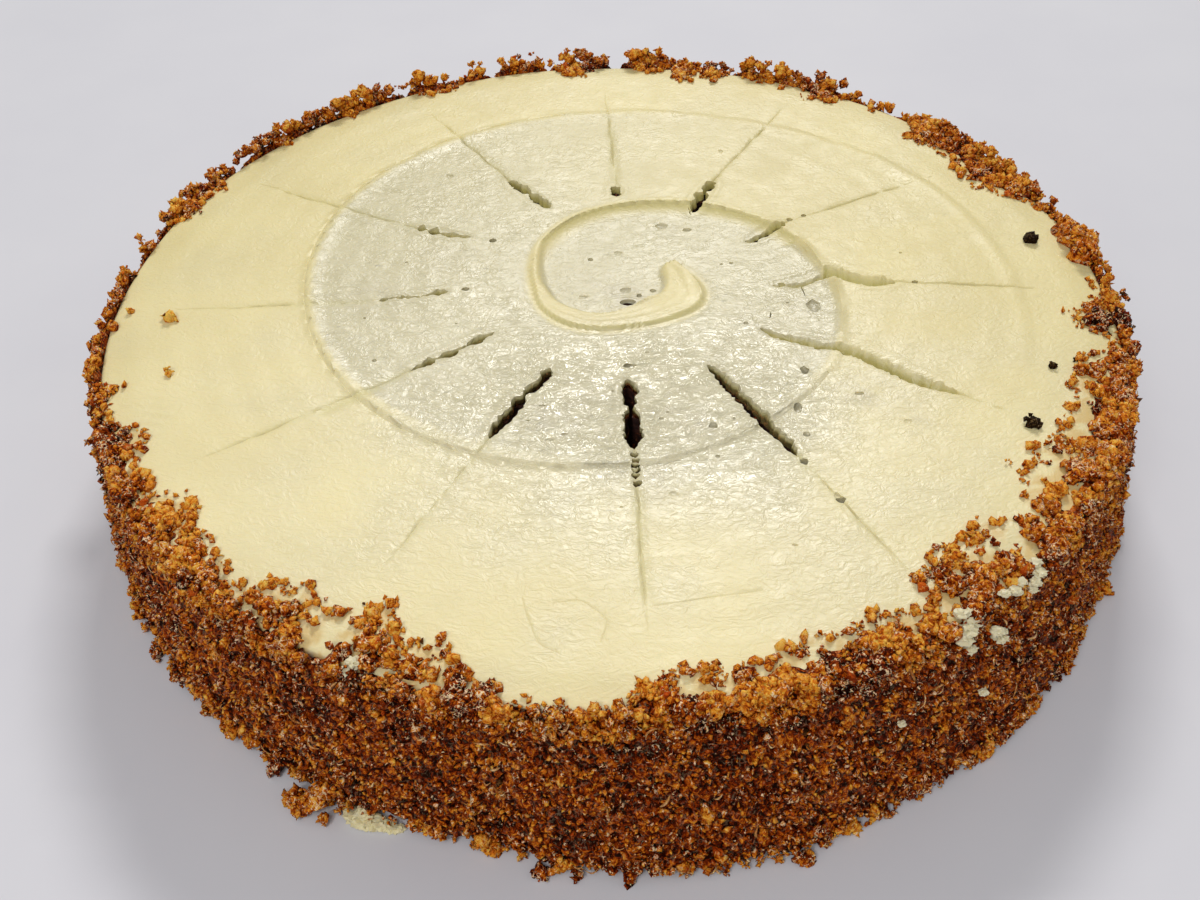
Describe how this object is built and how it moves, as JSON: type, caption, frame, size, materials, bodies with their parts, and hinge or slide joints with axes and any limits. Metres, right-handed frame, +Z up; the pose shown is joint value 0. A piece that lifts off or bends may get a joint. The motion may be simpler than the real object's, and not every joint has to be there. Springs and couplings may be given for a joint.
{
  "type": "carrot cake",
  "caption": "Round iced carrot cake marked for slices, with a flat cream cheese icing top and a coat of toasted cake crumbs round its side and rim.",
  "frame": {"origin": "middle of the flat base, on the surface that the cake rests on", "axes": "+Z up through the icing, -Y towards the side it is mostly seen from, +X to that viewer's right"},
  "size_m": [0.2717, 0.2701, 0.0493],
  "materials": {
    "carrot_sponge": "moist open dark brown crumb",
    "cream_cheese_icing": "smooth ivory, soft sheen, knife marks",
    "toasted_crumbs": "rough golden brown crumbs with dark and orange bits"
  },
  "bodies": {
    "root": {"sponge": "carrot_sponge", "icing": "cream_cheese_icing", "crumb_coat": "toasted_crumbs"}
  },
  "joints": []
}
